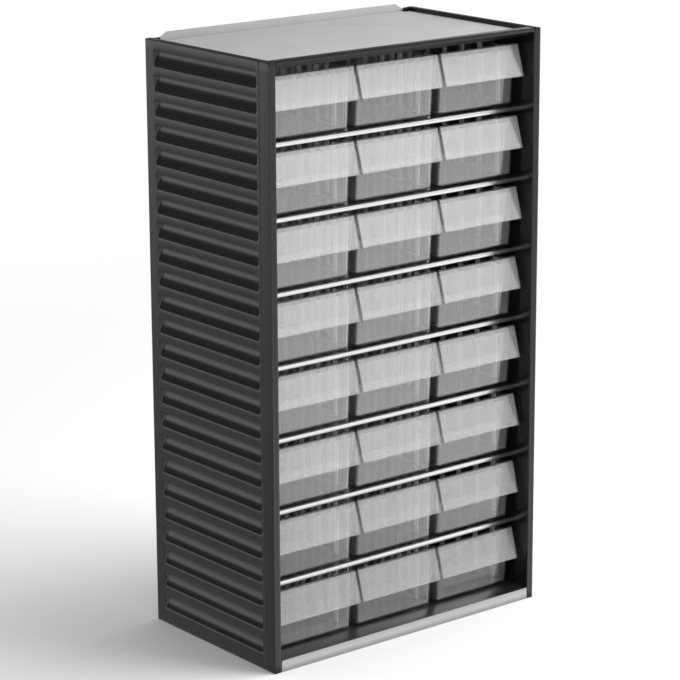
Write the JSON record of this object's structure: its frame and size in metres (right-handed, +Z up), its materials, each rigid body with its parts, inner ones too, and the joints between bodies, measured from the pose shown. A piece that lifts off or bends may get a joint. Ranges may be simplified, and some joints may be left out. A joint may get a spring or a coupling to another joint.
{
  "type": "parts bin cabinet",
  "caption": "Free-standing small-parts cabinet: ribbed dark plastic sides, sheet-steel shelves and columns of clear sliding drawers with a sloping hood to pull them by.",
  "frame": {"origin": "on the floor under the middle of the cabinet", "axes": "+Z up, the drawers open along -Y, +X to the right seen from the front"},
  "size_m": [0.31, 0.18, 0.55],
  "materials": {
    "panel_plastic": "satin injection-moulded, near black",
    "top_steel": "light grey powder coat",
    "shelf_steel": "bright zinc-plated sheet",
    "base_steel": "zinc-plated sheet",
    "back_steel": "light grey powder coat",
    "screw_steel": "zinc-plated",
    "drawer_plastic": "clear polystyrene"
  },
  "bodies": {
    "cabinet": {"side_panel_left": "panel_plastic", "side_panel_right": "panel_plastic", "top_plate": "top_steel", "top_rail": "panel_plastic", "base_plate": "base_steel", "back_panel": "back_steel", "back_screws": "screw_steel", "shelf_1": "shelf_steel", "shelf_2": "shelf_steel", "shelf_3": "shelf_steel", "shelf_4": "shelf_steel", "shelf_5": "shelf_steel", "shelf_6": "shelf_steel", "shelf_7": "shelf_steel"},
    "drawer_r1_c1": {"drawer_r1_c1": "drawer_plastic"},
    "drawer_r1_c2": {"drawer_r1_c2": "drawer_plastic"},
    "drawer_r1_c3": {"drawer_r1_c3": "drawer_plastic"},
    "drawer_r2_c1": {"drawer_r2_c1": "drawer_plastic"},
    "drawer_r2_c2": {"drawer_r2_c2": "drawer_plastic"},
    "drawer_r2_c3": {"drawer_r2_c3": "drawer_plastic"},
    "drawer_r3_c1": {"drawer_r3_c1": "drawer_plastic"},
    "drawer_r3_c2": {"drawer_r3_c2": "drawer_plastic"},
    "drawer_r3_c3": {"drawer_r3_c3": "drawer_plastic"},
    "drawer_r4_c1": {"drawer_r4_c1": "drawer_plastic"},
    "drawer_r4_c2": {"drawer_r4_c2": "drawer_plastic"},
    "drawer_r4_c3": {"drawer_r4_c3": "drawer_plastic"},
    "drawer_r5_c1": {"drawer_r5_c1": "drawer_plastic"},
    "drawer_r5_c2": {"drawer_r5_c2": "drawer_plastic"},
    "drawer_r5_c3": {"drawer_r5_c3": "drawer_plastic"},
    "drawer_r6_c1": {"drawer_r6_c1": "drawer_plastic"},
    "drawer_r6_c2": {"drawer_r6_c2": "drawer_plastic"},
    "drawer_r6_c3": {"drawer_r6_c3": "drawer_plastic"},
    "drawer_r7_c1": {"drawer_r7_c1": "drawer_plastic"},
    "drawer_r7_c2": {"drawer_r7_c2": "drawer_plastic"},
    "drawer_r7_c3": {"drawer_r7_c3": "drawer_plastic"},
    "drawer_r8_c1": {"drawer_r8_c1": "drawer_plastic"},
    "drawer_r8_c2": {"drawer_r8_c2": "drawer_plastic"},
    "drawer_r8_c3": {"drawer_r8_c3": "drawer_plastic"}
  },
  "joints": [
    {"name": "drawer_r1_c1_slide", "type": "slide", "parent": "cabinet", "child": "drawer_r1_c1", "axis": [0, -1, 0], "range_m": [0, 0.1379]},
    {"name": "drawer_r1_c2_slide", "type": "slide", "parent": "cabinet", "child": "drawer_r1_c2", "axis": [0, -1, 0], "range_m": [0, 0.1379]},
    {"name": "drawer_r1_c3_slide", "type": "slide", "parent": "cabinet", "child": "drawer_r1_c3", "axis": [0, -1, 0], "range_m": [0, 0.1379]},
    {"name": "drawer_r2_c1_slide", "type": "slide", "parent": "cabinet", "child": "drawer_r2_c1", "axis": [0, -1, 0], "range_m": [0, 0.1531]},
    {"name": "drawer_r2_c2_slide", "type": "slide", "parent": "cabinet", "child": "drawer_r2_c2", "axis": [0, -1, 0], "range_m": [0, 0.1531]},
    {"name": "drawer_r2_c3_slide", "type": "slide", "parent": "cabinet", "child": "drawer_r2_c3", "axis": [0, -1, 0], "range_m": [0, 0.1531]},
    {"name": "drawer_r3_c1_slide", "type": "slide", "parent": "cabinet", "child": "drawer_r3_c1", "axis": [0, -1, 0], "range_m": [0, 0.1531]},
    {"name": "drawer_r3_c2_slide", "type": "slide", "parent": "cabinet", "child": "drawer_r3_c2", "axis": [0, -1, 0], "range_m": [0, 0.1531]},
    {"name": "drawer_r3_c3_slide", "type": "slide", "parent": "cabinet", "child": "drawer_r3_c3", "axis": [0, -1, 0], "range_m": [0, 0.1531]},
    {"name": "drawer_r4_c1_slide", "type": "slide", "parent": "cabinet", "child": "drawer_r4_c1", "axis": [0, -1, 0], "range_m": [0, 0.1531]},
    {"name": "drawer_r4_c2_slide", "type": "slide", "parent": "cabinet", "child": "drawer_r4_c2", "axis": [0, -1, 0], "range_m": [0, 0.1531]},
    {"name": "drawer_r4_c3_slide", "type": "slide", "parent": "cabinet", "child": "drawer_r4_c3", "axis": [0, -1, 0], "range_m": [0, 0.1531]},
    {"name": "drawer_r5_c1_slide", "type": "slide", "parent": "cabinet", "child": "drawer_r5_c1", "axis": [0, -1, 0], "range_m": [0, 0.1531]},
    {"name": "drawer_r5_c2_slide", "type": "slide", "parent": "cabinet", "child": "drawer_r5_c2", "axis": [0, -1, 0], "range_m": [0, 0.1531]},
    {"name": "drawer_r5_c3_slide", "type": "slide", "parent": "cabinet", "child": "drawer_r5_c3", "axis": [0, -1, 0], "range_m": [0, 0.1531]},
    {"name": "drawer_r6_c1_slide", "type": "slide", "parent": "cabinet", "child": "drawer_r6_c1", "axis": [0, -1, 0], "range_m": [0, 0.1531]},
    {"name": "drawer_r6_c2_slide", "type": "slide", "parent": "cabinet", "child": "drawer_r6_c2", "axis": [0, -1, 0], "range_m": [0, 0.1531]},
    {"name": "drawer_r6_c3_slide", "type": "slide", "parent": "cabinet", "child": "drawer_r6_c3", "axis": [0, -1, 0], "range_m": [0, 0.1531]},
    {"name": "drawer_r7_c1_slide", "type": "slide", "parent": "cabinet", "child": "drawer_r7_c1", "axis": [0, -1, 0], "range_m": [0, 0.1531]},
    {"name": "drawer_r7_c2_slide", "type": "slide", "parent": "cabinet", "child": "drawer_r7_c2", "axis": [0, -1, 0], "range_m": [0, 0.1531]},
    {"name": "drawer_r7_c3_slide", "type": "slide", "parent": "cabinet", "child": "drawer_r7_c3", "axis": [0, -1, 0], "range_m": [0, 0.1531]},
    {"name": "drawer_r8_c1_slide", "type": "slide", "parent": "cabinet", "child": "drawer_r8_c1", "axis": [0, -1, 0], "range_m": [0, 0.1531]},
    {"name": "drawer_r8_c2_slide", "type": "slide", "parent": "cabinet", "child": "drawer_r8_c2", "axis": [0, -1, 0], "range_m": [0, 0.1531]},
    {"name": "drawer_r8_c3_slide", "type": "slide", "parent": "cabinet", "child": "drawer_r8_c3", "axis": [0, -1, 0], "range_m": [0, 0.1531]}
  ]
}
